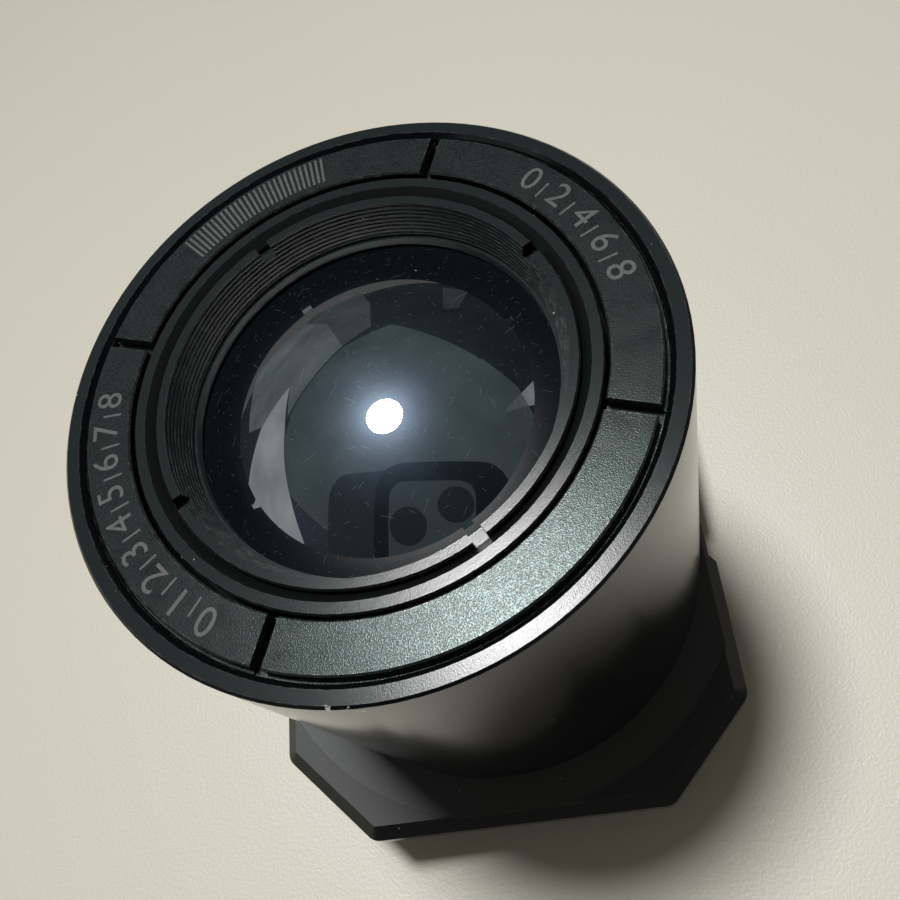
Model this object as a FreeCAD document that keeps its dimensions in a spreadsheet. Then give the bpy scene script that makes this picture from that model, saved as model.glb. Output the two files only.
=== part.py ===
"""Long-wave infrared objective lens, 35 mm class: outer barrel, lens cell, rings, glass and seals.

The origin is the centre of the rear end face, which the lens stands on. +Z runs along the optical
axis to the front, and +Y along the longer side of the mounting flange. All sizes are millimetres.
"""
import FreeCAD, Part
import math
import os

import Sketcher

Vector = FreeCAD.Vector

# name, value, what it measures
DIMENSIONS = (
    # glass, which the diameters round it follow
    ("front_glass_diameter", 29.6, "edge of the front element"),
    ("rear_glass_diameter", 24.0, "edge of the middle and rear elements"),
    # outer barrel
    ("barrel_wall", 1.5, "wall at the lock ring's thread"),
    ("barrel_length", 40.4, "from the flange's upper face to the front rim"),
    ("rim_chamfer", 0.2, "outer edge of the front rim"),
    ("rim_bore_chamfer", 0.38, "inner edge of the front rim"),
    ("shoulder_width", 2.8, "shoulder in the bore that carries the ring stack"),
    ("bore_floor_rise", 0.6, "floor of the main bore above the flange's upper face"),
    # mounting flange
    ("flange_side_margin", 1.2, "past the tube on the sides that face X"),
    ("flange_end_margin", 4.2, "past the tube on the sides that face Y"),
    ("flange_thickness", 3.6, "underside to upper face"),
    ("flange_corner_cut", 8.7, "leg of each cut corner"),
    ("flange_bevel", 1.25, "bevel round the upper edge"),
    ("flange_corner_round", 0.35, "radius of the eight upright edges where the bevel ends"),
    ("side_notch_width", 7.0, "shallow notch in the middle of each side that faces X"),
    ("side_notch_depth", 0.65, "shallow notch in the middle of each side that faces X"),
    ("turned_face_margin", 0.5, "from the turned part of the upper face to the Y sides"),
    ("turned_face_depth", 0.2, "how far the turned part lies below the corners"),
    # rear spigot
    ("spigot_length", 7.0, "rear end face to the flange's underside"),
    ("mount_thread", 34.0, "major diameter of the mounting thread"),
    ("mount_lead", 0.5, "lead chamfer of the mounting thread"),
    ("mount_relief_width", 1.2, "thread run-out next to the flange"),
    ("mount_relief_depth", 0.5, "thread run-out next to the flange"),
    ("spigot_wall", 1.8, "thread's major radius to the bore"),
    ("flange_seal_distance", 3.0, "centre line of the flange seal outside the thread"),
    ("flange_seal_cord", 1.0, "seal cord in the flange's underside"),
    # slotted lock ring
    ("lock_ring_land", 3.64, "from its hole to its thread"),
    ("lock_ring_height", 3.0, "overall"),
    ("lock_ring_rise", 0.15, "upper face above the rim"),
    ("lock_ring_relief_depth", 0.3, "plain part above the thread, on the radius"),
    ("lock_ring_relief_height", 0.9, "height of the plain part"),
    ("lock_ring_gap", 0.29, "round the lens cell's lip"),
    ("lock_ring_edge", 0.12, "edge breaks of the upper face"),
    ("lock_slot_width", 0.8, "spanner slot"),
    ("lock_slot_depth", 1.1, "spanner slot"),
    ("lock_slot_angle", 68.8, "first slot from +X"),
    # stack under the lock ring
    ("spring_height", 0.8, "fitted height of the wave spring"),
    ("spring_gauge", 0.3, "strip thickness of the wave spring"),
    ("spring_gap", 0.5, "wave spring to the walls inside and outside it"),
    ("cell_flange_thickness", 2.2, "flange of the lens cell"),
    ("shim_thickness", 0.5, "focus shim"),
    ("compensator_height", 3.5, "acetal ring"),
    # lens cell
    ("lip_wall", 0.84, "front lip"),
    ("lip_step", 0.73, "mouth of the lip to the retaining ring's thread"),
    ("cell_tail_play", 0.2, "rear part inside the spigot's bore"),
    ("cell_tail_gap", 0.8, "cell's step above the floor of the main bore"),
    ("cell_tail_recess", 1.2, "rear end of the cell inside the spigot"),
    ("cell_waist_depth", 0.4, "waist between the two guiding lands"),
    ("cell_land_height", 9.0, "height of each guiding land"),
    ("cell_seal_cord", 0.9, "cord of the two cell seals"),
    ("cell_seal_inset", 5.0, "cell seals from the ends of the guided part"),
    ("seal_groove_extra", 0.3, "groove width over the cord"),
    # front element and what holds it
    ("front_glass_radius", 26.0, "curvature of the front face"),
    ("front_glass_drop", 0.25, "top of the dome below the rim"),
    ("front_glass_edge", 3.6, "edge thickness"),
    ("front_glass_back_radius", 33.0, "curvature of the rear face"),
    ("front_glass_back_land", 1.6, "flat round the hollow rear face"),
    ("front_contact_inset", 0.9, "where the retaining ring touches the dome, from the edge"),
    ("front_thread_step", 0.2, "retaining ring's thread outside the glass"),
    ("front_ring_drop", 0.1, "retaining ring below the rim"),
    ("front_ring_mouth_wall", 0.75, "wall at the top"),
    ("front_ring_throat_wall", 1.5, "wall at the foot of the steps"),
    ("front_ring_ledge_width", 0.15, "ledge at the foot of the steps"),
    ("front_ring_ledge_height", 0.91, "ledge above the glass at its inner edge"),
    ("front_ring_steps", 9, "light-trap steps in the bore"),
    ("front_notch_width", 1.0, "spanner notch"),
    ("front_notch_depth", 0.95, "spanner notch"),
    ("front_notch_angle", 28.1, "first notch from +X"),
    ("front_seal_cord", 0.7, "seal round the front element"),
    ("seat_washer_thickness", 0.4, "washer behind the front element"),
    # middle and rear elements
    ("middle_shoulder_height", 33.0, "shoulder that the middle element sits on"),
    ("middle_shoulder_wall", 1.2, "depth of the shoulder's lip"),
    ("middle_shoulder_width", 0.7, "shoulder's lip over the glass"),
    ("middle_edge", 2.8, "edge thickness"),
    ("middle_front_radius", 32.0, "curvature of the front face"),
    ("middle_back_radius", 24.0, "curvature of the rear face"),
    ("middle_back_land", 1.3, "flat round the hollow rear face"),
    ("stop_thickness", 0.3, "aperture stop"),
    ("stop_width", 2.3, "aperture stop, edge to opening"),
    ("spacer_length", 13.9, "spacer tube"),
    ("spacer_front_wall", 1.5, "spacer tube"),
    ("spacer_rear_wall", 0.55, "spacer tube"),
    ("rear_edge", 3.2, "edge thickness of the rear element"),
    ("rear_front_radius", 26.0, "curvature of the front face"),
    ("rear_front_land", 0.9, "flat round the domed front face"),
    ("rear_back_radius", 45.0, "curvature of the rear face"),
    ("rear_back_land", 1.5, "flat round the hollow rear face"),
    ("rear_seal_cord", 0.6, "seal round the rear element"),
    ("rear_thread_step", 0.6, "rear retaining ring's thread outside the glass"),
    ("rear_ring_height", 3.0, "rear retaining ring"),
    ("rear_ring_lap", 1.3, "rear retaining ring over the glass"),
    ("rear_ring_flare", 1.0, "how much the bore opens to the rear, on the radius"),
    ("rear_slot_width", 1.2, "spanner slot"),
    ("rear_slot_depth", 1.0, "spanner slot"),
    ("baffle_pitch", 1.15, "light baffles inside the cell and the spacer"),
    ("baffle_depth", 0.45, "light baffles inside the cell and the spacer"),
    # guide pins
    ("pin_diameter", 1.5, "dowel pin"),
    ("pin_barrel_depth", 2.5, "pin's depth in the barrel"),
    ("pin_cell_depth", 1.6, "pin's depth in the cell's flange"),
    # clearances, on the radius or along the axis
    ("thread_clearance", 0.05, "threads"),
    ("slide_clearance", 0.05, "cell in barrel, glass in cell, washers in bores"),
    ("pin_clearance", 0.04, "pins in their holes"),
    ("glass_clearance", 0.02, "ring over the dome"),
    ("spring_clearance", 0.02, "wave spring between its two faces"),
    ("edge_break", 0.2, "small chamfers"),
)

doc = FreeCAD.newDocument("ThermalLens")
dims = doc.addObject("Spreadsheet::Sheet", "Dims")
for row, (name, value, note) in enumerate(DIMENSIONS, start=1):
    dims.set(f"A{row}", name)
    dims.set(f"B{row}", str(value))
    dims.setAlias(f"B{row}", name)
    dims.set(f"C{row}", note)
doc.recompute()


def size(expression):
    """Value of an expression of the sheet's cells."""
    return float(dims.evalExpression(expression))


def half(name):
    return f"(Dims.{name} / 2)"


def sag(radius, reach):
    """Depth of a spherical face of this radius at this distance from the axis."""
    return f"({radius} - sqrt({radius}^2 - {reach}^2))"


# Radii, from the glass outwards
FRONT_GLASS, REAR_GLASS = half("front_glass_diameter"), half("rear_glass_diameter")
FRONT_THREAD = f"({FRONT_GLASS} + Dims.front_thread_step)"
REAR_THREAD = f"({REAR_GLASS} + Dims.rear_thread_step)"
FRONT_GLASS_BORE = f"({FRONT_GLASS} + Dims.slide_clearance)"
REAR_GLASS_BORE = f"({REAR_GLASS} + Dims.slide_clearance)"
FRONT_THREAD_BORE = f"({FRONT_THREAD} + Dims.thread_clearance)"
REAR_THREAD_BORE = f"({REAR_THREAD} + Dims.thread_clearance)"
LIP_MOUTH = f"({FRONT_THREAD} + Dims.lip_step)"
LIP = f"({LIP_MOUTH} + Dims.lip_wall)"
LOCK_HOLE = f"({LIP} + Dims.lock_ring_gap)"
LOCK_THREAD = f"({LOCK_HOLE} + Dims.lock_ring_land)"
BARREL = f"({LOCK_THREAD} + Dims.barrel_wall)"
CELL_BORE = f"({LOCK_THREAD} - Dims.shoulder_width)"
CELL_GUIDE = f"({CELL_BORE} - Dims.slide_clearance)"
STACK_OUTSIDE = f"({LOCK_THREAD} - Dims.edge_break)"
STACK_INSIDE = f"({CELL_BORE} + Dims.slide_clearance)"
PIN_CIRCLE = f"(({STACK_OUTSIDE} + {STACK_INSIDE}) / 2)"
MOUNT_THREAD = half("mount_thread")
SPIGOT_BORE = f"({MOUNT_THREAD} - Dims.spigot_wall)"
FLANGE_SEAL = f"({MOUNT_THREAD} + Dims.flange_seal_distance)"
FRONT_GLASS_HOLLOW = f"({FRONT_GLASS} - Dims.front_glass_back_land)"
SHOULDER_BORE = f"({REAR_GLASS} - Dims.middle_shoulder_width)"

# Heights above the rear end face
UNDERSIDE = "Dims.spigot_length"
LAND = f"({UNDERSIDE} + Dims.flange_thickness)"
BORE_FLOOR = f"({LAND} + Dims.bore_floor_rise)"
RIM = f"({LAND} + Dims.barrel_length)"
LOCK_TOP = f"({RIM} + Dims.lock_ring_rise)"
LOCK_BOTTOM = f"({LOCK_TOP} - Dims.lock_ring_height)"
CELL_FLANGE_TOP = f"({LOCK_BOTTOM} - Dims.spring_height)"
CELL_FLANGE_BOTTOM = f"({CELL_FLANGE_TOP} - Dims.cell_flange_thickness)"
SHIM_BOTTOM = f"({CELL_FLANGE_BOTTOM} - Dims.shim_thickness)"
SHOULDER = f"({SHIM_BOTTOM} - Dims.compensator_height)"
CELL_STEP = f"({BORE_FLOOR} + Dims.cell_tail_gap)"

DOME_TOP = f"({RIM} - Dims.front_glass_drop)"
DOME_EDGE = f"({DOME_TOP} - {sag('Dims.front_glass_radius', FRONT_GLASS)})"
FRONT_GLASS_BACK = f"({DOME_EDGE} - Dims.front_glass_edge)"
FRONT_SEAT = f"({FRONT_GLASS_BACK} - Dims.seat_washer_thickness)"
RING_TOP = f"({RIM} - Dims.front_ring_drop)"

MIDDLE_BACK = "(Dims.middle_shoulder_height - Dims.middle_edge)"
STOP_BACK = f"({MIDDLE_BACK} - Dims.stop_thickness)"
SPACER_BACK = f"({STOP_BACK} - Dims.spacer_length)"
REAR_BACK = f"({SPACER_BACK} - Dims.rear_edge)"
REAR_RING_BACK = f"({REAR_BACK} - Dims.rear_ring_height)"


def dome_tangent(reach):
    """Height of the cone that touches the front dome on the contact circle."""
    contact = f"({FRONT_GLASS} - Dims.front_contact_inset)"
    flank = f"sqrt(Dims.front_glass_radius^2 - {contact}^2)"
    centre = f"({DOME_TOP} - Dims.front_glass_radius)"
    return f"({centre} + (Dims.front_glass_radius^2 - {contact} * {reach}) / {flank} + Dims.glass_clearance)"


def origin_plane(body, role):
    return next(part for part in body.Origin.OriginFeatures if part.Role == role)


def attach(sketch, body, role):
    sketch.AttachmentSupport = [(origin_plane(body, role), "")]
    sketch.MapMode = "FlatFace"


def pin(sketch, geometry, vertex, across, up):
    """Ties one sketch point to a pair of expressions, or to an axis where the expression is 0."""
    for kind, axis, expression in (("DistanceX", -2, across), ("DistanceY", -1, up)):
        if expression == "0":
            sketch.addConstraint(Sketcher.Constraint("PointOnObject", geometry, vertex, axis))
        else:
            index = sketch.addConstraint(
                Sketcher.Constraint(kind, -1, 1, geometry, vertex, size(expression)))
            sketch.setExpression(f"Constraints[{index}]", expression)


def draw(sketch, corners):
    """Closed outline through the corners (across, up).

    A third value gives the height of an arc's centre on the axis: the side from that corner to the
    next one is then an arc instead of a line.
    """
    points = [Vector(size(corner[0]), size(corner[1]), 0) for corner in corners]
    ends = []
    for index, corner in enumerate(corners):
        start, end = points[index], points[(index + 1) % len(points)]
        if len(corner) == 2:
            sketch.addGeometry(Part.LineSegment(start, end), False)
            ends.append((1, 2))
            continue
        centre = Vector(0, size(corner[2]), 0)
        circle = Part.Circle(centre, Vector(0, 0, 1), (start - centre).Length)
        forward = (start - centre).cross(end - centre).z > 0
        first, last = (start, end) if forward else (end, start)
        sketch.addGeometry(
            Part.ArcOfCircle(circle, circle.parameter(first), circle.parameter(last)), False)
        ends.append((1, 2) if forward else (2, 1))
    for index, corner in enumerate(corners):
        following = (index + 1) % len(corners)
        sketch.addConstraint(Sketcher.Constraint(
            "Coincident", index, ends[index][1], following, ends[following][0]))
        pin(sketch, index, ends[index][0], corner[0], corner[1])
        if len(corner) == 3:
            sketch.addConstraint(Sketcher.Constraint("PointOnObject", index, 3, -2))


def revolve(body, kind, name, corners):
    """Turns an outline, given as (radius, height), about the optical axis."""
    sketch = body.newObject("Sketcher::SketchObject", f"{name}Outline")
    attach(sketch, body, "XZ_Plane")
    draw(sketch, corners)
    feature = body.newObject(kind, name)
    feature.Profile = sketch
    feature.ReferenceAxis = (sketch, ["V_Axis"])
    feature.Angle = 360
    return feature


def turned(label, corners):
    """A body with one turned outline."""
    body = doc.addObject("PartDesign::Body", label)
    body.Label = label
    revolve(body, "PartDesign::Revolution", f"{label}_turning", corners)
    return body


def pocket(body, name, corners, height, depth, upward=False, turn=None, hole=None):
    """Cuts an outline, or a round hole at (distance, radius), from a level down or up."""
    sketch = body.newObject("Sketcher::SketchObject", f"{name}Outline")
    attach(sketch, body, "XY_Plane")
    sketch.setExpression("AttachmentOffset.Base.z", height)
    if turn:
        sketch.AttachmentOffset = FreeCAD.Placement(
            Vector(0, 0, size(height)), FreeCAD.Rotation(Vector(0, 0, 1), size(turn)))
        sketch.setExpression("AttachmentOffset.Rotation.Angle", f"{turn} * 1 deg")
    if hole:
        distance, radius = hole
        sketch.addGeometry(
            Part.Circle(Vector(size(distance), 0, 0), Vector(0, 0, 1), size(radius)), False)
        pin(sketch, 0, 3, distance, "0")
        index = sketch.addConstraint(Sketcher.Constraint("Radius", 0, size(radius)))
        sketch.setExpression(f"Constraints[{index}]", radius)
    else:
        draw(sketch, corners)
    feature = body.newObject("PartDesign::Pocket", name)
    feature.Profile = sketch
    feature.setExpression("Length", depth)
    feature.Reversed = upward
    return feature


def polar(body, feature, count):
    """Repeats a cut evenly round the optical axis."""
    pattern = body.newObject("PartDesign::PolarPattern", f"{feature.Name}Pattern")
    pattern.Originals = [feature]
    pattern.Axis = (feature.Profile[0], ["N_Axis"])
    pattern.Angle = 360
    pattern.Occurrences = count
    body.Tip = pattern
    return pattern


def radial_slots(body, name, inner, outer, width, top, depth, turn, count, upward=False):
    """Straight spanner slots across a ring's face."""
    low, high = f"-{width} / 2", f"{width} / 2"
    corners = [(inner, low), (outer, low), (outer, high), (inner, high)]
    return polar(body, pocket(body, name, corners, top, depth, upward=upward, turn=turn), count)


def pin_holes(body, name, height, depth, upward=False):
    """The two holes for the guide pins."""
    radius = f"({half('pin_diameter')} + Dims.pin_clearance)"
    hole = (PIN_CIRCLE, radius)
    return polar(body, pocket(body, name, None, height, depth, upward=upward, hole=hole), 2)


def chamfer(body, base, name, edges, expression):
    feature = body.newObject("PartDesign::Chamfer", name)
    feature.Base = (base, edges)
    feature.setExpression("Size", expression)
    return feature


def edges_where(feature, wanted):
    """Names of the edges of a feature whose end points and middle pass a test."""
    names = []
    for index, edge in enumerate(feature.Shape.Edges, start=1):
        if wanted(edge):
            names.append(f"Edge{index}")
    return names


def is_upright(edge):
    first, last = edge.Vertexes[0].Point, edge.Vertexes[-1].Point
    return abs(first.z - last.z) > 0.5 and (first - last).Length - abs(first.z - last.z) < 1e-6


def steps(start, end, count):
    """Stairs from one (radius, height) corner down to another: each a wall, then a ledge."""
    corners = []
    for index in range(count):
        level = f"({start[1]} + ({end[1]} - {start[1]}) * {index + 1} / {count})"
        for done in (index, index + 1):
            reach = f"({start[0]} + ({end[0]} - {start[0]}) * {done} / {count})"
            corners.append((reach, level))
    return corners


def baffles(start, end, count):
    """Saw teeth between two (radius, height) corners: sharp crests with grooves between them."""
    corners = []
    for index in range(count):
        for share, depth in ((index, "0"), (index + 0.75, "Dims.baffle_depth")):
            reach = f"({start[0]} + ({end[0]} - {start[0]}) * {share} / {count} + {depth})"
            level = f"({start[1]} + ({end[1]} - {start[1]}) * {share} / {count})"
            corners.append((reach, level))
    return corners + [end]


def baffle_count(start, end):
    return max(2, round(size(f"({start[1]} - {end[1]}) / Dims.baffle_pitch")))


def outer_barrel():
    """Tube, mounting flange and threaded spigot, turned and milled from one bar."""
    body = doc.addObject("PartDesign::Body", "outer_barrel")
    body.Label = "outer_barrel"
    plate_outline = body.newObject("Sketcher::SketchObject", "flange_outline")
    attach(plate_outline, body, "XY_Plane")
    plate_outline.setExpression("AttachmentOffset.Base.z", UNDERSIDE)
    wide = f"({BARREL} + Dims.flange_side_margin)"
    long = f"({BARREL} + Dims.flange_end_margin)"
    draw(plate_outline, [(f"-{wide}", f"-{long}"), (wide, f"-{long}"), (wide, long), (f"-{wide}", long)])
    plate = body.newObject("PartDesign::Pad", "flange_plate")
    plate.Profile = plate_outline
    plate.setExpression("Length", "Dims.flange_thickness")
    doc.recompute()

    corner_cuts = chamfer(body, plate, "flange_corner_cuts", edges_where(plate, is_upright),
                          "Dims.flange_corner_cut")
    doc.recompute()
    rounds = body.newObject("PartDesign::Fillet", "flange_corner_rounds")
    rounds.Base = (corner_cuts, edges_where(corner_cuts, is_upright))
    rounds.setExpression("Radius", "Dims.flange_bevel + Dims.flange_corner_round")
    doc.recompute()
    upper = size(LAND)
    top_edges = edges_where(rounds, lambda edge: all(abs(v.Point.z - upper) < 1e-6 for v in edge.Vertexes))
    chamfer(body, rounds, "flange_bevel", top_edges, "Dims.flange_bevel")

    inside, outside = f"({wide} - Dims.side_notch_depth)", f"({wide} + Dims.side_notch_depth)"
    narrow = half("side_notch_width")
    flared = f"({narrow} + 2 * Dims.side_notch_depth)"
    notch = pocket(body, "side_notch", [
        (inside, f"-{narrow}"), (outside, f"-{flared}"), (outside, flared), (inside, narrow)],
        LAND, "Dims.flange_thickness")
    polar(body, notch, 2)

    pocket(body, "turned_face", None, LAND, "Dims.turned_face_depth",
           hole=("0", f"({long} - Dims.turned_face_margin)"))

    relief = f"({MOUNT_THREAD} - Dims.mount_relief_depth)"
    relief_start = f"({UNDERSIDE} - Dims.mount_relief_width)"
    revolve(body, "PartDesign::Revolution", "tube_and_spigot", [
        ("0", "0"), (f"({MOUNT_THREAD} - Dims.mount_lead)", "0"), (MOUNT_THREAD, "Dims.mount_lead"),
        (MOUNT_THREAD, relief_start), (relief, relief_start), (relief, UNDERSIDE), (BARREL, UNDERSIDE),
        (BARREL, f"({RIM} - Dims.rim_chamfer)"), (f"({BARREL} - Dims.rim_chamfer)", RIM), ("0", RIM)])

    revolve(body, "PartDesign::Groove", "bores", [
        ("0", "0"), (SPIGOT_BORE, "0"), (SPIGOT_BORE, BORE_FLOOR),
        (CELL_BORE, BORE_FLOOR), (CELL_BORE, SHOULDER),
        (LOCK_THREAD, SHOULDER), (LOCK_THREAD, f"({RIM} - Dims.rim_bore_chamfer)"),
        (f"({LOCK_THREAD} + Dims.rim_bore_chamfer)", RIM), ("0", RIM)])

    reach = f"(Dims.flange_seal_cord / 2 + Dims.seal_groove_extra)"
    ceiling = f"({UNDERSIDE} + Dims.flange_seal_cord + Dims.slide_clearance)"
    revolve(body, "PartDesign::Groove", "flange_seal_groove", [
        (f"({FLANGE_SEAL} - {reach})", UNDERSIDE), (f"({FLANGE_SEAL} + {reach})", UNDERSIDE),
        (f"({FLANGE_SEAL} + {reach})", ceiling), (f"({FLANGE_SEAL} - {reach})", ceiling)])
    pin_holes(body, "barrel_pin_holes", SHOULDER, "Dims.pin_barrel_depth")
    return body


def slotted_lock_ring():
    """Wide threaded ring with four radial spanner slots, level with the rim."""
    thread = f"({LOCK_THREAD} - Dims.thread_clearance)"
    relief = f"({LOCK_THREAD} - Dims.lock_ring_relief_depth)"
    relief_floor = f"({LOCK_TOP} - Dims.lock_ring_relief_height)"
    edge = "Dims.lock_ring_edge"
    body = turned("slotted_lock_ring", [
        (LOCK_HOLE, LOCK_BOTTOM), (thread, LOCK_BOTTOM), (thread, relief_floor), (relief, relief_floor),
        (relief, f"({LOCK_TOP} - {edge})"), (f"({relief} - {edge})", LOCK_TOP),
        (f"({LOCK_HOLE} + {edge})", LOCK_TOP), (LOCK_HOLE, f"({LOCK_TOP} - {edge})")])
    radial_slots(body, "lock_slots", f"({LOCK_HOLE} - 1)", f"({LOCK_THREAD} + 1)", "Dims.lock_slot_width",
                 LOCK_TOP, "Dims.lock_slot_depth", "Dims.lock_slot_angle", 4)
    return body


def wave_spring():
    """Flat strip ring with three waves, squeezed between the lock ring and the lens cell."""
    waves, samples = 3, 36
    gauge = size("Dims.spring_gauge")
    floor = size(f"{CELL_FLANGE_TOP} + Dims.spring_clearance")
    swing = size("Dims.spring_height / 2 - Dims.spring_gauge / 2 - Dims.spring_clearance")

    def edge(radius):
        points = []
        for index in range(samples):
            angle = 2 * math.pi * index / samples
            height = floor + swing * (1 + math.sin(waves * angle))
            points.append(Vector(radius * math.cos(angle), radius * math.sin(angle), height))
        curve = Part.BSplineCurve()
        curve.interpolate(Points=points, PeriodicFlag=True)
        return curve.toShape()

    inner, outer = size(f"{LIP} + Dims.spring_gap"), size(f"{LOCK_THREAD} - Dims.spring_gap")
    strip = Part.makeRuledSurface(edge(inner), edge(outer))
    spring = doc.addObject("Part::Feature", "wave_spring")
    spring.Label = "wave_spring"
    spring.Shape = strip.extrude(Vector(0, 0, gauge))
    return spring


def washer(label, inner, outer, bottom, top):
    """Plain flat ring."""
    return turned(label, [(inner, bottom), (outer, bottom), (outer, top), (inner, top)])


def focus_shim():
    """Ground washer that sets the focus, with holes for the guide pins."""
    body = washer("focus_shim", STACK_INSIDE, STACK_OUTSIDE, SHIM_BOTTOM, CELL_FLANGE_BOTTOM)
    pin_holes(body, "shim_pin_holes", CELL_FLANGE_BOTTOM, "Dims.shim_thickness")
    return body


def compensator_ring():
    """Acetal ring: it grows with heat and moves the lens cell to keep the focus."""
    body = washer("compensator_ring", STACK_INSIDE, STACK_OUTSIDE, SHOULDER, SHIM_BOTTOM)
    pin_holes(body, "compensator_pin_holes", SHIM_BOTTOM, "Dims.compensator_height")
    return body


def guide_pins():
    """Two dowel pins through the shim and the compensator."""
    bottom = f"({SHOULDER} - Dims.pin_barrel_depth + Dims.slide_clearance)"
    top = f"({CELL_FLANGE_BOTTOM} + Dims.pin_cell_depth - Dims.slide_clearance)"
    radius, edge = half("pin_diameter"), "Dims.edge_break"
    pins = []
    for number, side in ((1, ""), (2, "-")):
        body = turned(f"guide_pin_{number}", [
            ("0", bottom), (f"({radius} - {edge})", bottom), (radius, f"({bottom} + {edge})"),
            (radius, f"({top} - {edge})"), (f"({radius} - {edge})", top), ("0", top)])
        body.setExpression("Placement.Base.x", f"{side}{PIN_CIRCLE}")
        pins.append(body)
    return pins


def seal(label, middle, cord, height):
    """Seal ring of round cord."""
    ring = doc.addObject("Part::Torus", label)
    ring.Label = label
    ring.setExpression("Radius1", middle)
    ring.setExpression("Radius2", cord)
    ring.setExpression("Placement.Base.z", height)
    return ring


def squeezed_seal(label, inner, outer, height):
    """Seal whose cord just fills the radial gap between two round walls."""
    return seal(label, f"({inner} + {outer}) / 2",
                f"({outer} - {inner}) / 2 - Dims.slide_clearance / 2", height)


def groove_between(wall, bottom, cord, height):
    """Corners of a square seal groove in a bore's or a shaft's wall, from the top down."""
    reach = f"(Dims.{cord} / 2 + Dims.seal_groove_extra)"
    upper, lower = f"({height} + {reach})", f"({height} - {reach})"
    return [(wall, upper), (bottom, upper), (bottom, lower), (wall, lower)]


# Seal grooves: the bottom's radius and the middle's height
FRONT_SEAL_BOTTOM = f"({FRONT_GLASS} + Dims.front_seal_cord)"
FRONT_SEAL_HEIGHT = f"({FRONT_GLASS_BACK} + Dims.front_glass_edge / 2)"
REAR_SEAL_BOTTOM = f"({REAR_GLASS} + Dims.rear_seal_cord)"
REAR_SEAL_HEIGHT = f"({REAR_BACK} + Dims.rear_edge / 2)"
CELL_SEAL_BOTTOM = f"({CELL_BORE} - Dims.cell_seal_cord)"
CELL_SEAL_FRONT = f"({SHOULDER} - Dims.cell_seal_inset)"
CELL_SEAL_REAR = f"({CELL_STEP} + Dims.cell_seal_inset)"

# Foot of the thread bore: where the glass bore takes over, under the retaining ring
FRONT_THREAD_FOOT = f"({dome_tangent(FRONT_THREAD)} - Dims.edge_break)"


def lens_cell():
    """Inner tube with all the seats: front lip and flange outside, stepped and baffled inside."""
    mouth_depth = f"({RIM} - ({LIP_MOUTH} - {FRONT_THREAD_BORE}))"
    waist = f"({CELL_GUIDE} - Dims.cell_waist_depth)"
    waist_top = f"({SHOULDER} - Dims.cell_land_height)"
    waist_bottom = f"({CELL_STEP} + Dims.cell_land_height)"
    tail = f"({SPIGOT_BORE} - Dims.cell_tail_play)"
    neck = "(Dims.middle_shoulder_height + Dims.middle_shoulder_wall)"
    throat_top, throat_foot = (FRONT_GLASS_HOLLOW, FRONT_SEAT), (SHOULDER_BORE, neck)
    inside = [
        (LIP_MOUTH, RIM), (FRONT_THREAD_BORE, mouth_depth), (FRONT_THREAD_BORE, FRONT_THREAD_FOOT),
        (FRONT_GLASS_BORE, FRONT_THREAD_FOOT),
        *groove_between(FRONT_GLASS_BORE, FRONT_SEAL_BOTTOM, "front_seal_cord", FRONT_SEAL_HEIGHT),
        (FRONT_GLASS_BORE, FRONT_SEAT),
        *baffles(throat_top, throat_foot, baffle_count(throat_top, throat_foot)),
        (SHOULDER_BORE, "Dims.middle_shoulder_height"), (REAR_GLASS_BORE, "Dims.middle_shoulder_height"),
        *groove_between(REAR_GLASS_BORE, REAR_SEAL_BOTTOM, "rear_seal_cord", REAR_SEAL_HEIGHT),
        (REAR_GLASS_BORE, REAR_BACK), (REAR_THREAD_BORE, REAR_BACK),
        (REAR_THREAD_BORE, f"(Dims.cell_tail_recess + Dims.edge_break)"),
        (f"({REAR_THREAD_BORE} + Dims.edge_break)", "Dims.cell_tail_recess")]
    outside = [
        (f"({tail} - Dims.edge_break)", "Dims.cell_tail_recess"),
        (tail, f"(Dims.cell_tail_recess + Dims.edge_break)"), (tail, CELL_STEP), (CELL_GUIDE, CELL_STEP),
        *reversed(groove_between(CELL_GUIDE, CELL_SEAL_BOTTOM, "cell_seal_cord", CELL_SEAL_REAR)),
        (CELL_GUIDE, waist_bottom), (waist, waist_bottom), (waist, waist_top), (CELL_GUIDE, waist_top),
        *reversed(groove_between(CELL_GUIDE, CELL_SEAL_BOTTOM, "cell_seal_cord", CELL_SEAL_FRONT)),
        (CELL_GUIDE, CELL_FLANGE_BOTTOM), (STACK_OUTSIDE, CELL_FLANGE_BOTTOM),
        (STACK_OUTSIDE, CELL_FLANGE_TOP), (LIP, CELL_FLANGE_TOP),
        (LIP, f"({RIM} - Dims.lock_ring_edge)"), (f"({LIP} - Dims.lock_ring_edge)", RIM)]
    body = turned("lens_cell", inside + outside)
    pin_holes(body, "cell_pin_holes", CELL_FLANGE_BOTTOM, "Dims.pin_cell_depth", upward=True)
    return body


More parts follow.
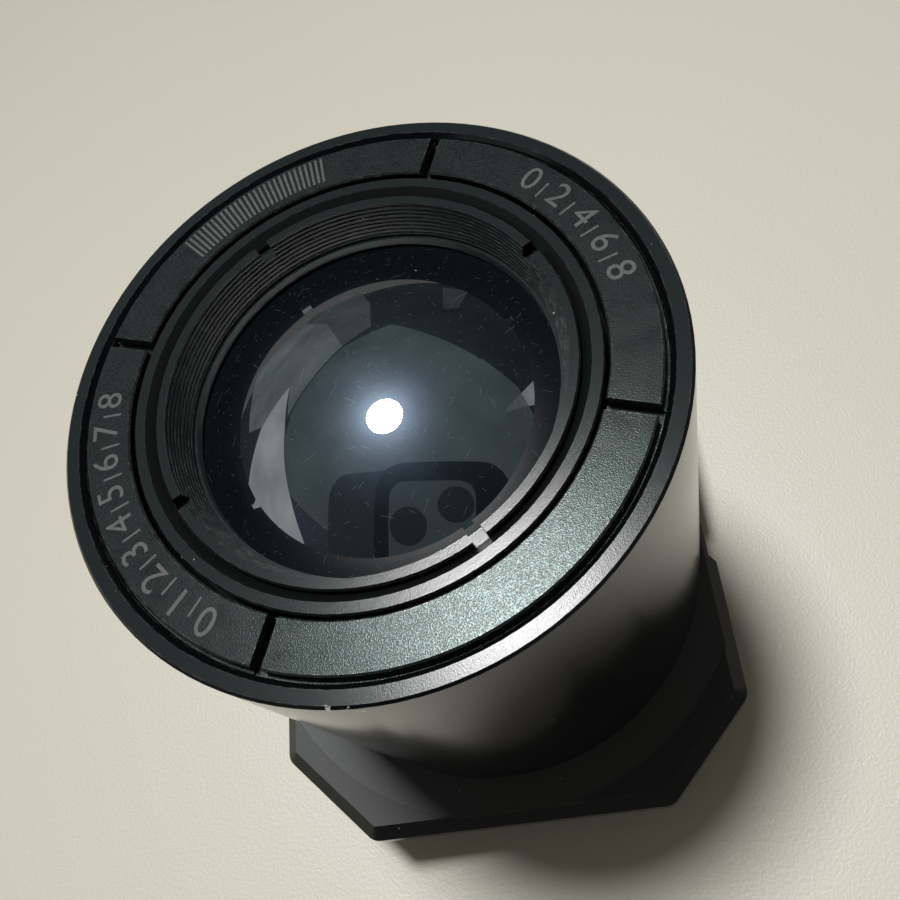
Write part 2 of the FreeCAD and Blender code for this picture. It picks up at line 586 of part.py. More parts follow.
def front_retaining_ring():
    """Threaded ring over the dome: stepped light trap, bottom ledge and four spanner notches."""
    mouth = f"({FRONT_THREAD} - Dims.front_ring_mouth_wall)"
    throat = f"({FRONT_THREAD} - Dims.front_ring_throat_wall)"
    clear = f"({throat} - Dims.front_ring_ledge_width)"
    ledge = f"({dome_tangent(clear)} + Dims.front_ring_ledge_height)"
    edge = "Dims.lock_ring_edge"
    body = turned("front_retaining_ring", [
        (mouth, RING_TOP), *steps((mouth, RING_TOP), (throat, ledge), int(size("Dims.front_ring_steps"))),
        (clear, ledge), (clear, dome_tangent(clear)), (FRONT_THREAD, dome_tangent(FRONT_THREAD)),
        (FRONT_THREAD, f"({RING_TOP} - {edge})"), (f"({FRONT_THREAD} - {edge})", RING_TOP)])
    radial_slots(body, "front_notches", f"({clear} - 1)", f"({FRONT_THREAD} + 1)", "Dims.front_notch_width",
                 RING_TOP, "Dims.front_notch_depth", "Dims.front_notch_angle", 4)
    return body


def front_element():
    """Germanium meniscus with a steep domed front and a hollow rear face."""
    hollow = FRONT_GLASS_HOLLOW
    hollow_top = f"({FRONT_GLASS_BACK} + {sag('Dims.front_glass_back_radius', hollow)})"
    return turned("front_element", [
        ("0", hollow_top), ("0", DOME_TOP, f"({DOME_TOP} - Dims.front_glass_radius)"),
        (FRONT_GLASS, DOME_EDGE), (FRONT_GLASS, FRONT_GLASS_BACK),
        (hollow, FRONT_GLASS_BACK, f"({hollow_top} - Dims.front_glass_back_radius)")])


def middle_element():
    """Negative meniscus, seated on the shoulder inside the cell."""
    hollow = f"({REAR_GLASS} - Dims.middle_back_land)"
    dome = f"({SHOULDER_BORE} - Dims.slide_clearance)"
    top = f"(Dims.middle_shoulder_height + {sag('Dims.middle_front_radius', dome)})"
    hollow_top = f"({MIDDLE_BACK} + {sag('Dims.middle_back_radius', hollow)})"
    return turned("middle_element", [
        ("0", hollow_top), ("0", top, f"({top} - Dims.middle_front_radius)"),
        (dome, "Dims.middle_shoulder_height"), (REAR_GLASS, "Dims.middle_shoulder_height"),
        (REAR_GLASS, MIDDLE_BACK), (hollow, MIDDLE_BACK, f"({hollow_top} - Dims.middle_back_radius)")])


def spacer_tube():
    """Tube between the aperture stop and the rear element, with light baffles inside."""
    front = (f"({REAR_GLASS} - Dims.spacer_front_wall)", STOP_BACK)
    rear = (f"({REAR_GLASS} - Dims.spacer_rear_wall)", SPACER_BACK)
    return turned("spacer_tube", [
        *baffles(front, rear, baffle_count(front, rear)), (REAR_GLASS, SPACER_BACK), (REAR_GLASS, STOP_BACK)])


def rear_element():
    """Positive meniscus at the rear of the cell."""
    dome = f"({REAR_GLASS} - Dims.rear_front_land)"
    hollow = f"({REAR_GLASS} - Dims.rear_back_land)"
    top = f"({SPACER_BACK} + {sag('Dims.rear_front_radius', dome)})"
    hollow_top = f"({REAR_BACK} + {sag('Dims.rear_back_radius', hollow)})"
    return turned("rear_element", [
        ("0", hollow_top), ("0", top, f"({top} - Dims.rear_front_radius)"),
        (dome, SPACER_BACK), (REAR_GLASS, SPACER_BACK),
        (REAR_GLASS, REAR_BACK), (hollow, REAR_BACK, f"({hollow_top} - Dims.rear_back_radius)")])


def rear_retaining_ring():
    """Threaded ring that holds the rear group, with a flared bore and two spanner slots."""
    bore = f"({REAR_GLASS} - Dims.rear_ring_lap)"
    flare = f"({bore} + Dims.rear_ring_flare)"
    body = turned("rear_retaining_ring", [
        (flare, REAR_RING_BACK), (f"({REAR_THREAD} - Dims.edge_break)", REAR_RING_BACK),
        (REAR_THREAD, f"({REAR_RING_BACK} + Dims.edge_break)"), (REAR_THREAD, REAR_BACK),
        (bore, REAR_BACK)])
    radial_slots(body, "rear_slots", f"({bore} - 1)", f"({REAR_THREAD} + 1)", "Dims.rear_slot_width",
                 REAR_RING_BACK, "Dims.rear_slot_depth", None, 2, upward=True)
    return body


pieces = [
    outer_barrel(),
    slotted_lock_ring(),
    wave_spring(),
    focus_shim(),
    compensator_ring(),
    *guide_pins(),
    lens_cell(),
    squeezed_seal("cell_o_ring_front", CELL_SEAL_BOTTOM, CELL_BORE, CELL_SEAL_FRONT),
    squeezed_seal("cell_o_ring_rear", CELL_SEAL_BOTTOM, CELL_BORE, CELL_SEAL_REAR),
    front_retaining_ring(),
    front_element(),
    squeezed_seal("front_o_ring", FRONT_GLASS, FRONT_SEAL_BOTTOM, FRONT_SEAL_HEIGHT),
    washer("front_seat_washer", FRONT_GLASS_HOLLOW, FRONT_GLASS, FRONT_SEAT, FRONT_GLASS_BACK),
    middle_element(),
    washer("aperture_stop", f"({REAR_GLASS} - Dims.stop_width)", REAR_GLASS, STOP_BACK, MIDDLE_BACK),
    spacer_tube(),
    rear_element(),
    squeezed_seal("rear_o_ring", REAR_GLASS, REAR_SEAL_BOTTOM, REAR_SEAL_HEIGHT),
    rear_retaining_ring(),
    seal("flange_o_ring", FLANGE_SEAL, "Dims.flange_seal_cord / 2",
         f"({UNDERSIDE} + Dims.flange_seal_cord / 2)"),
]
doc.recompute()

for item in doc.Objects:
    if any(state in ("Invalid", "Error") for state in item.State):
        raise RuntimeError(f"{item.Label} could not be built: {item.State}")
    if item.isDerivedFrom("PartDesign::Feature") and item.Shape.Volume <= 0:
        raise RuntimeError(f"{item.Label} leaves no solid")
for piece in pieces:
    if piece.Shape.isNull() or not piece.Shape.isValid():
        raise RuntimeError(f"{piece.Label} has no valid shape")

os.makedirs("parts", exist_ok=True)
for piece in pieces:
    piece.Shape.exportStep(f"parts/{piece.Label}.step")
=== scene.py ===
"""Looks of the thermal imaging lens: finishes, mounting thread, scale marks, table, light and camera.

The frame is the packed model. Lengths are metres, +Z runs along the optical axis to the front
glass, and the lens stands on its rear end at the origin.
"""

import math

import bmesh
import bpy
from bpy.props import FloatProperty, FloatVectorProperty, PointerProperty
from mathutils import Matrix, Vector


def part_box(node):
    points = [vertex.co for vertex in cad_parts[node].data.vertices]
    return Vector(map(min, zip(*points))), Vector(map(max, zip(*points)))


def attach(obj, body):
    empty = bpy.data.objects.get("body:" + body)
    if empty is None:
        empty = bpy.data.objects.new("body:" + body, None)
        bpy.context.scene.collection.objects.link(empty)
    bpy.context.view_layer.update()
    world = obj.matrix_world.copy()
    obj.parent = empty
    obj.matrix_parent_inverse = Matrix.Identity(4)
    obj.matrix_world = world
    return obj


bl_info = {
    "name": "Thermal Imaging Lens",
    "version": (1, 0, 0),
    "blender": (4, 5, 0),
    "location": "View3D > Sidebar > Lens",
    "description": "Dresses the lens frame with finishes, thread and marks, and sets the table and light",
    "category": "Object",
}

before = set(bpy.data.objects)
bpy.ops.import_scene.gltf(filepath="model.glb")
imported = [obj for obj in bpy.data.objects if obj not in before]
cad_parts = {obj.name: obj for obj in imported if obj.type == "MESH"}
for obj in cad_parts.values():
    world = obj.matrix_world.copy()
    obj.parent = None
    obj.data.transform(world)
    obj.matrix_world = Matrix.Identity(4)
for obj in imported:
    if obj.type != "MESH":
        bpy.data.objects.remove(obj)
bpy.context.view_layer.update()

MM = 0.001
RIM_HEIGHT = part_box("outer_barrel")[1].z
LOCK_RING_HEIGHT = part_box("slotted_lock_ring")[1].z
GLASS_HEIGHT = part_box("front_element")[1].z


# ---------------------------------------------------------------- user values

class LensThread(bpy.types.PropertyGroup):
    """Mounting thread on the rear spigot."""
    root_radius: FloatProperty(
        name="Root radius", description="Plain cylinder that the ridges stand on", default=17 * MM,
        unit="LENGTH", precision=5)
    ridge: FloatProperty(
        name="Ridge height", description="Crest above the root", default=0.13 * MM, unit="LENGTH",
        precision=5)
    pitch: FloatProperty(
        name="Pitch", description="Distance between turns", default=0.5 * MM, unit="LENGTH",
        precision=5)
    start: FloatProperty(
        name="Start", description="First turn above the rear end", default=0.75 * MM,
        unit="LENGTH", precision=5)
    end: FloatProperty(
        name="End", description="Last turn above the rear end", default=5.65 * MM,
        unit="LENGTH", precision=5)


class LensMarks(bpy.types.PropertyGroup):
    """Plain scale marks on the slotted lock ring."""
    middle_radius: FloatProperty(
        name="Middle radius", description="Middle of the marks from the optical axis",
        default=18.6 * MM, unit="LENGTH", precision=5)
    digit_height: FloatProperty(
        name="Digit height", description="Height of a digit", default=2.0 * MM, unit="LENGTH",
        precision=5)
    tick_width: FloatProperty(
        name="Tick width", description="Line width of a tick", default=0.16 * MM, unit="LENGTH",
        precision=5)
    film: FloatProperty(
        name="Film", description="Marks above the ring's face", default=0.006 * MM,
        unit="LENGTH", precision=6)
    colour: FloatVectorProperty(
        name="Colour", description="Faded laser mark", subtype="COLOR", size=3,
        default=(0.085, 0.093, 0.09), min=0, max=1)


class LensFinish(bpy.types.PropertyGroup):
    """Colours and textures of the pieces."""
    anodised: FloatVectorProperty(
        name="Anodised", description="Smooth black anodising", subtype="COLOR", size=3,
        default=(0.0032, 0.0042, 0.0046), min=0, max=1)
    blasted: FloatVectorProperty(
        name="Blasted", description="Black anodising over bead blasting", subtype="COLOR", size=3,
        default=(0.032, 0.042, 0.041), min=0, max=1)
    face: FloatVectorProperty(
        name="Upper faces", description="Greyed anodising of the rims and ring faces", subtype="COLOR",
        size=3, default=(0.015, 0.021, 0.021), min=0, max=1)
    flange: FloatVectorProperty(
        name="Flange face", description="Greyed anodising of the flange's turned face", subtype="COLOR",
        size=3, default=(0.09, 0.098, 0.094), min=0, max=1)
    # Colour of the chips, also painted along convex edges as a highlight.
    bare_metal: FloatVectorProperty(
        name="Bare metal", description="Aluminium where the black is chipped off",
        subtype="COLOR", size=3, default=(0.62, 0.62, 0.6), min=0, max=1)
    dust: FloatVectorProperty(
        name="Dust", description="Lint and dust specks", subtype="COLOR", size=3,
        default=(0.4, 0.41, 0.4), min=0, max=1)
    glass: FloatVectorProperty(
        name="Coated glass", description="Dark coating of the front glass", subtype="COLOR",
        size=3, default=(0.003, 0.0055, 0.007), min=0, max=1)
    germanium: FloatVectorProperty(
        name="Germanium", description="Polished germanium", subtype="COLOR", size=3,
        default=(0.3, 0.3, 0.31), min=0, max=1)
    rubber: FloatVectorProperty(
        name="Rubber", description="Seal rings", subtype="COLOR", size=3,
        default=(0.018, 0.018, 0.019), min=0, max=1)
    acetal: FloatVectorProperty(
        name="Acetal", description="Compensator ring", subtype="COLOR", size=3,
        default=(0.74, 0.72, 0.66), min=0, max=1)
    steel: FloatVectorProperty(
        name="Steel", description="Shim, spring and pins", subtype="COLOR", size=3,
        default=(0.5, 0.5, 0.49), min=0, max=1)
    grain: FloatProperty(
        name="Grain", description="Size of a bead-blasted dimple", default=0.085 * MM,
        unit="LENGTH", precision=5)
    tool_pitch: FloatProperty(
        name="Turning marks", description="Distance between the marks of the lathe tool",
        default=0.05 * MM, unit="LENGTH", precision=5)
    # This width also sets the band of painted highlight along convex edges.
    wear_width: FloatProperty(
        name="Edge wear", description="Width of the rubbed edges", default=0.12 * MM,
        unit="LENGTH", precision=5)


class LensStage(bpy.types.PropertyGroup):
    """Table, light and camera."""
    table: FloatVectorProperty(
        name="Table", description="Painted table top", subtype="COLOR", size=3,
        default=(0.8, 0.765, 0.655), min=0, max=1)
    table_side: FloatProperty(
        name="Table side", description="Length of the table's side", default=1.6, unit="LENGTH")
    lamp_power: FloatProperty(
        name="Lamp power", description="Power of the round lamp, in watts", default=1.26)
    lamp_reach: FloatProperty(
        name="Lamp distance", description="From the front glass", default=0.9, unit="LENGTH")
    lamp_spread: FloatProperty(
        name="Lamp spread", description="Angle across the lamp, seen from the glass",
        default=math.radians(12.5), subtype="ANGLE")
    lamp_direction: FloatVectorProperty(
        name="Lamp direction", description="From the front glass to the lamp", size=3,
        subtype="DIRECTION", default=(-0.132, 0.244, 0.9608))
    lamp_aim: FloatVectorProperty(
        name="Lamp aim", description="Point on the table that the lamp faces", subtype="TRANSLATION",
        size=3, default=(30 * MM, -40 * MM, 0.0), precision=5)
    ceiling_height: FloatProperty(
        name="Ceiling height", description="Above the front glass", default=3.6, unit="LENGTH")
    lamp_beam: FloatProperty(
        name="Lamp beam", description="Full angle in which the lamp shines",
        default=math.radians(80.0), subtype="ANGLE")
    room: FloatVectorProperty(
        name="Room", description="Dim light from all sides", subtype="COLOR", size=3,
        default=(0.098, 0.092, 0.082), min=0, max=1)
    background: FloatVectorProperty(
        name="Background", description="What is seen beyond the table", subtype="COLOR", size=3,
        default=(0.17, 0.17, 0.16), min=0, max=1)
    camera_place: FloatVectorProperty(
        name="Camera", description="Place of the camera", subtype="TRANSLATION", size=3,
        default=(16.11 * MM, -32.32 * MM, 100.41 * MM), precision=5)
    camera_aim: FloatVectorProperty(
        name="Aim", description="Point in the middle of the picture", subtype="TRANSLATION",
        size=3, default=(5.79 * MM, -7.07 * MM, 51.0 * MM), precision=5)
    camera_roll: FloatProperty(
        name="Roll", description="Turn about the line of sight", default=math.radians(-31.10),
        subtype="ANGLE")
    field: FloatProperty(
        name="Focal length", description="On a sensor 36 mm wide, in millimetres", default=36.13)


# ---------------------------------------------------------------- helpers for nodes

def add(tree, kind, inputs=None, **settings):
    """Adds a node. An input takes a plain value or another node's output socket."""
    node = tree.nodes.new(kind)
    for name, value in settings.items():
        setattr(node, name, value)
    for name, value in (inputs or {}).items():
        socket = node.inputs[name]
        if isinstance(value, bpy.types.NodeSocket):
            tree.links.new(value, socket)
        elif socket.type == "RGBA" and len(value) == 3:
            socket.default_value = (*value, 1.0)
        else:
            socket.default_value = value
    return node


def maths(tree, operation, *values, clamp=False):
    """Result of one Math node."""
    node = add(tree, "ShaderNodeMath", dict(enumerate(values)), operation=operation, use_clamp=clamp)
    return node.outputs[0]


def blend_colour(tree, factor, low, high):
    """Colour between low and high by the factor."""
    node = tree.nodes.new("ShaderNodeMix")
    node.data_type = "RGBA"
    for index, value in ((0, factor), (6, low), (7, high)):
        if isinstance(value, bpy.types.NodeSocket):
            tree.links.new(value, node.inputs[index])
        elif index:
            node.inputs[index].default_value = (*value[:3], 1.0)
        else:
            node.inputs[index].default_value = value
    return node.outputs[2]


def mix(tree, factor, low, high):
    """Number between low and high by the factor."""
    node = tree.nodes.new("ShaderNodeMix")
    for index, value in ((0, factor), (2, low), (3, high)):
        if isinstance(value, bpy.types.NodeSocket):
            tree.links.new(value, node.inputs[index])
        else:
            node.inputs[index].default_value = value
    return node.outputs[0]


def remap(tree, value, low, high, new_low=0.0, new_high=1.0):
    """Value moved from one range to another, kept within the new one."""
    node = add(tree, "ShaderNodeMapRange", {
        "Value": value, "From Min": low, "From Max": high, "To Min": new_low, "To Max": new_high})
    return node.outputs["Result"]


def group(name, inputs, outputs):
    """Empty shader node group with its sockets: inputs are (name, default), outputs are names."""
    tree = bpy.data.node_groups.new(name, "ShaderNodeTree")
    for socket_name, default in inputs:
        socket = tree.interface.new_socket(socket_name, in_out="INPUT", socket_type="NodeSocketFloat")
        socket.default_value = default
    for socket_name in outputs:
        tree.interface.new_socket(socket_name, in_out="OUTPUT", socket_type="NodeSocketFloat")
    return tree, tree.nodes.new("NodeGroupInput"), tree.nodes.new("NodeGroupOutput")


def use(tree, name, **values):
    """Places a node group in a material with its own values."""
    node = add(tree, "ShaderNodeGroup", node_tree=bpy.data.node_groups[name])
    for socket_name, value in values.items():
        socket = node.inputs[socket_name.replace("_", " ")]
        if isinstance(value, bpy.types.NodeSocket):
            tree.links.new(value, socket)
        else:
            socket.default_value = value
    return node


def material(name):
    """New material: its tree and the Principled BSDF in it."""
    finish = bpy.data.materials.new(name)
    finish.use_nodes = True
    return finish, finish.node_tree, finish.node_tree.nodes["Principled BSDF"]


def bump(tree, height, strength, distance, normal=None):
    """Normal of a bump map, over another normal if there is one."""
    inputs = {"Height": height, "Strength": strength, "Distance": distance}
    if normal:
        inputs["Normal"] = normal
    return add(tree, "ShaderNodeBump", inputs).outputs["Normal"]


# ---------------------------------------------------------------- shared effects

def make_edge_wear():
    """Mask of convex edges, broken up by noise: worn edges, and a painted highlight along them."""
    tree, entry, exit_node = group(
        "Edge wear", (("Width", 0.0001), ("Break up", 900.0), ("Amount", 1.0)), ("Mask",))
    rounded = add(tree, "ShaderNodeBevel", {"Radius": entry.outputs["Width"]}, samples=2)
    flat = add(tree, "ShaderNodeNewGeometry")
    agreement = add(tree, "ShaderNodeVectorMath", {
        0: rounded.outputs["Normal"], 1: flat.outputs["Normal"]}, operation="DOT_PRODUCT")
    edge = remap(tree, agreement.outputs["Value"], 0.999, 0.93)
    place = add(tree, "ShaderNodeTexCoord").outputs["Object"]
    noise = add(tree, "ShaderNodeTexNoise", {
        "Vector": place, "Scale": entry.outputs["Break up"], "Detail": 4.0, "Roughness": 0.65})
    patches = remap(tree, noise.outputs[0], 0.46, 0.66)
    worn = maths(tree, "MULTIPLY", edge, patches)
    tree.links.new(maths(tree, "MULTIPLY", worn, entry.outputs["Amount"], clamp=True),
                   exit_node.inputs["Mask"])


def make_turning():
    """Fine circular marks of a lathe tool, on faces and round walls alike."""
    tree, entry, exit_node = group(
        "Turning marks", (("Pitch", 0.00005), ("Waver", 0.3)), ("Height", "Streak"))
    place = add(tree, "ShaderNodeTexCoord").outputs["Object"]
    parts = add(tree, "ShaderNodeSeparateXYZ", {0: place})
    x, y, z = (parts.outputs[axis] for axis in "XYZ")
    radius = maths(tree, "SQRT", maths(tree, "ADD", maths(tree, "MULTIPLY", x, x),
                                       maths(tree, "MULTIPLY", y, y)))
    angle = maths(tree, "MULTIPLY", maths(tree, "ARCTAN2", y, x), entry.outputs["Waver"])
    across = maths(tree, "DIVIDE", radius, entry.outputs["Pitch"])
    along = maths(tree, "DIVIDE", z, entry.outputs["Pitch"])
    lines = add(tree, "ShaderNodeCombineXYZ", {0: across, 1: along, 2: angle})
    fine = add(tree, "ShaderNodeTexNoise", {
        "Vector": lines.outputs[0], "Scale": 1.0, "Detail": 2.0, "Roughness": 0.6})
    wide = add(tree, "ShaderNodeTexNoise", {
        "Vector": lines.outputs[0], "Scale": 0.12, "Detail": 3.0, "Roughness": 0.7})
    tree.links.new(fine.outputs[0], exit_node.inputs["Height"])
    tree.links.new(wide.outputs[0], exit_node.inputs["Streak"])


def make_blasting():
    """Dimples of bead blasting."""
    tree, entry, exit_node = group("Bead blasting", (("Grain", 0.0001),), ("Height", "Mottle"))
    place = add(tree, "ShaderNodeTexCoord").outputs["Object"]
    scale = maths(tree, "DIVIDE", 1.0, entry.outputs["Grain"])
    dimples = add(tree, "ShaderNodeTexVoronoi", {"Vector": place, "Scale": scale})
    grit = add(tree, "ShaderNodeTexNoise", {
        "Vector": place, "Scale": scale, "Detail": 1.0, "Roughness": 0.75})
    height = maths(tree, "ADD", dimples.outputs["Distance"], grit.outputs[0])
    patches = add(tree, "ShaderNodeTexNoise", {
        "Vector": place, "Scale": maths(tree, "MULTIPLY", scale, 0.05), "Detail": 5.0})
    tree.links.new(height, exit_node.inputs["Height"])
    tree.links.new(patches.outputs[0], exit_node.inputs["Mottle"])


def make_facing():
    """Masks of the faces that look up along the axis, of the low ones and of those near the axis."""
    tree, entry, exit_node = group(
        "Facing up", (("Height", 0.02), ("Radius", 0.02)), ("Mask", "Low", "Inside"))
    coordinates = add(tree, "ShaderNodeTexCoord")
    normal = add(tree, "ShaderNodeSeparateXYZ", {0: coordinates.outputs["Normal"]})
    place = add(tree, "ShaderNodeSeparateXYZ", {0: coordinates.outputs["Object"]})
    flat = add(tree, "ShaderNodeVectorMath", {0: coordinates.outputs["Object"], 1: (1.0, 1.0, 0.0)},
               operation="MULTIPLY")
    reach = add(tree, "ShaderNodeVectorMath", {0: flat.outputs[0]}, operation="LENGTH")
    low = maths(tree, "LESS_THAN", place.outputs["Z"], entry.outputs["Height"])
    inside = maths(tree, "LESS_THAN", reach.outputs["Value"], entry.outputs["Radius"])
    tree.links.new(remap(tree, normal.outputs["Z"], 0.86, 0.96), exit_node.inputs["Mask"])
    tree.links.new(low, exit_node.inputs["Low"])
    tree.links.new(inside, exit_node.inputs["Inside"])


def make_dust():
    """Scattered specks, few and small."""
    tree, entry, exit_node = group(
        "Dust specks", (("Cell", 0.001), ("Speck", 0.05), ("Share", 0.3)), ("Mask",))
    place = add(tree, "ShaderNodeTexCoord").outputs["Object"]
    warp = add(tree, "ShaderNodeTexNoise", {"Vector": place, "Scale": 6000.0, "Detail": 1.0})
    offset = add(tree, "ShaderNodeVectorMath", {0: warp.outputs["Color"]}, operation="SCALE")
    offset.inputs["Scale"].default_value = 0.0001
    moved = add(tree, "ShaderNodeVectorMath", {0: place, 1: offset.outputs[0]}, operation="ADD")
    cells = add(tree, "ShaderNodeTexVoronoi", {
        "Vector": moved.outputs[0], "Scale": maths(tree, "DIVIDE", 1.0, entry.outputs["Cell"])})
    draw = add(tree, "ShaderNodeSeparateColor", {0: cells.outputs["Color"]})
    chosen = maths(tree, "LESS_THAN", draw.outputs[0], entry.outputs["Share"])
    reach = maths(tree, "MULTIPLY", draw.outputs[1], entry.outputs["Speck"])
    inside = maths(tree, "LESS_THAN", cells.outputs["Distance"], reach)
    tree.links.new(maths(tree, "MULTIPLY", chosen, inside), exit_node.inputs["Mask"])


def make_scratches():
    """Short hair-fine wiping marks that lie in all directions, with a broad haze."""
    tree, entry, exit_node = group(
        "Wiping marks", (("Spacing", 0.001), ("Width", 0.00002)), ("Lines", "Haze"))
    place = add(tree, "ShaderNodeTexCoord").outputs["Object"]
    lines = None
    for layer, (size, length) in enumerate(((1.0, 0.36), (1.6, 0.5), (0.7, 0.3))):
        spacing = maths(tree, "MULTIPLY", entry.outputs["Spacing"], size)
        offset = (3.1 * MM * layer, 1.7 * MM * layer, 0.0)
        shifted = add(tree, "ShaderNodeVectorMath", {0: place, 1: offset}, operation="ADD")
        cells = add(tree, "ShaderNodeTexVoronoi", {
            "Vector": shifted.outputs[0], "Scale": maths(tree, "DIVIDE", 1.0, spacing)},
            voronoi_dimensions="2D")
        draw = add(tree, "ShaderNodeSeparateColor", {0: cells.outputs["Color"]})
        away = add(tree, "ShaderNodeVectorMath", {0: shifted.outputs[0], 1: cells.outputs["Position"]},
                   operation="SUBTRACT")
        turn = maths(tree, "MULTIPLY", draw.outputs[0], math.tau)
        turned = add(tree, "ShaderNodeVectorRotate", {"Vector": away.outputs[0], "Angle": turn},
                     rotation_type="Z_AXIS")
        parts = add(tree, "ShaderNodeSeparateXYZ", {0: turned.outputs[0]})
        across = maths(tree, "ABSOLUTE", parts.outputs["Y"])
        along = maths(tree, "ABSOLUTE", parts.outputs["X"])
        share = remap(tree, draw.outputs[2], 0.55, 1.0, 0.0, length)
        half = maths(tree, "MULTIPLY", spacing, maths(tree, "MULTIPLY", draw.outputs[1], share))
        line = maths(tree, "MULTIPLY", maths(tree, "LESS_THAN", across, entry.outputs["Width"]),
                     maths(tree, "LESS_THAN", along, half))
        lines = maths(tree, "MAXIMUM", lines, line) if lines else line
    haze = add(tree, "ShaderNodeTexNoise", {
        "Vector": place, "Scale": 260.0, "Detail": 6.0, "Roughness": 0.62})
    tree.links.new(lines, exit_node.inputs["Lines"])
    tree.links.new(remap(tree, haze.outputs[0], 0.3, 0.7), exit_node.inputs["Haze"])


def make_chip():
    """One ragged patch where the black is knocked off, at a given place."""
    tree, entry, exit_node = group(
        "Chip", (("X", 0.0), ("Y", 0.0), ("Z", 0.0), ("Size", 0.0004)), ("Mask",))
    place = add(tree, "ShaderNodeTexCoord").outputs["Object"]
    centre = add(tree, "ShaderNodeCombineXYZ", {axis: entry.outputs[axis] for axis in "XYZ"})
    reach = add(tree, "ShaderNodeVectorMath", {0: place, 1: centre.outputs[0]}, operation="DISTANCE")
    ragged = add(tree, "ShaderNodeTexNoise", {"Vector": place, "Scale": 5000.0, "Detail": 3.0})
    share = maths(tree, "DIVIDE", reach.outputs["Value"], entry.outputs["Size"])
    tree.links.new(maths(tree, "LESS_THAN", share, remap(tree, ragged.outputs[0], 0.35, 0.65, 0.1, 1.0)),
                   exit_node.inputs["Mask"])


# ---------------------------------------------------------------- finishes

# Chips on the rim: angle, distance from the axis, depth below the rim and size, in degrees and mm.
CHIPS = (
    (-97.6, 22.0, 0.1, 0.42), (-94.6, 22.05, 0.1, 0.26), (-93.6, 22.1, 1.0, 0.2), (-92.6, 22.1, 1.1, 0.3),
)


def anodised(name, colour, roughness, face_roughness, ior=1.36, wear_and_highlight=1.0, turning=0.2, chips=()):
    """Smooth black anodising: glossy walls, greyed upper faces, worn edges that also carry a painted
    highlight, and dust.
    """
    look = bpy.context.scene.lens_finish
    finish, tree, surface = material(name)
    wear_and_highlight_mask = use(tree, "Edge wear", Width=look.wear_width, Break_up=1400.0, Amount=wear_and_highlight)
    turned = use(tree, "Turning marks", Pitch=look.tool_pitch, Waver=0.5)
    grain = use(tree, "Bead blasting", Grain=look.grain)
    facing = use(tree, "Facing up", Height=0.4 * RIM_HEIGHT, Radius=25.7 * MM)
    specks = use(tree, "Dust specks", Cell=0.9 * MM, Speck=0.085, Share=0.25)
    up, dust = facing.outputs["Mask"], specks.outputs["Mask"]
    # Aluminium colour on convex edges: partly worn edges, partly a painted highlight; the chips are worn
    # spots.
    bare_and_highlight = maths(tree, "MULTIPLY", wear_and_highlight_mask.outputs["Mask"], 0.5)
    for angle, radius, depth, size in chips:
        turn = math.radians(angle)
        chip = use(tree, "Chip", X=radius * MM * math.cos(turn), Y=radius * MM * math.sin(turn),
                   Z=RIM_HEIGHT - depth * MM, Size=size * MM)
        bare_and_highlight = maths(tree, "MAXIMUM", bare_and_highlight, chip.outputs["Mask"])

    streaks = remap(tree, turned.outputs["Streak"], 0.3, 0.7, 0.8, 1.2)
    wall = blend_colour(tree, streaks, (0.0, 0.0, 0.0), colour)
    foot = blend_colour(tree, facing.outputs["Inside"], tuple(0.6 * c for c in look.flange), look.flange)
    face = blend_colour(tree, facing.outputs["Low"], look.face, foot)
    shade = blend_colour(tree, bare_and_highlight, blend_colour(tree, up, wall, face), look.bare_metal)
    tree.links.new(blend_colour(tree, dust, shade, look.dust), surface.inputs["Base Color"])

    wall_dullness = remap(tree, turned.outputs["Streak"], 0.3, 0.7, roughness - 0.02, roughness + 0.03)
    face_dullness = mix(tree, facing.outputs["Low"], face_roughness, 0.36)
    tree.links.new(mix(tree, dust, mix(tree, up, wall_dullness, face_dullness), 0.7),
                   surface.inputs["Roughness"])
    surface.inputs["IOR"].default_value = ior
    grained = bump(tree, mix(tree, up, 0.5, grain.outputs["Height"]), 0.3, 0.01 * MM)
    lined = bump(tree, turned.outputs["Height"], turning, 0.003 * MM, grained)
    tree.links.new(lined, surface.inputs["Normal"])
    return finish


def blasted(name, colour, roughness):
    """Bead-blasted black anodising of the wide slotted ring, glittering grain by grain."""
    look = bpy.context.scene.lens_finish
    finish, tree, surface = material(name)
    grain = use(tree, "Bead blasting", Grain=look.grain)
    wear_and_highlight_mask = use(tree, "Edge wear", Width=look.wear_width, Break_up=1100.0, Amount=0.9)
    specks = use(tree, "Dust specks", Cell=0.8 * MM, Speck=0.08, Share=0.22)
    dust = specks.outputs["Mask"]
    mottle = remap(tree, grain.outputs["Mottle"], 0.3, 0.7, 0.85, 1.15)
    shade = blend_colour(tree, mottle, (0.0, 0.0, 0.0), colour)
    # Aluminium colour on convex edges: partly worn edges, partly a painted highlight.
    bare_and_highlight = maths(tree, "MULTIPLY", wear_and_highlight_mask.outputs["Mask"], 0.4)
    worn_and_highlit = blend_colour(tree, bare_and_highlight, shade, look.bare_metal)
    tree.links.new(blend_colour(tree, dust, worn_and_highlit, look.dust), surface.inputs["Base Color"])
    glitter = remap(tree, grain.outputs["Height"], 0.8, 1.15, 0.0, 0.75)
    tree.links.new(mix(tree, dust, glitter, 0.0), surface.inputs["Metallic"])
    dullness = remap(tree, grain.outputs["Mottle"], 0.3, 0.7, roughness - 0.02, roughness + 0.02)
    tree.links.new(mix(tree, dust, dullness, 0.7), surface.inputs["Roughness"])
    surface.inputs["IOR"].default_value = 1.24
    surface.inputs["Specular Tint"].default_value = (1.0, 0.94, 0.86, 1.0)
    tree.links.new(bump(tree, grain.outputs["Height"], 0.45, 0.01 * MM), surface.inputs["Normal"])
    return finish


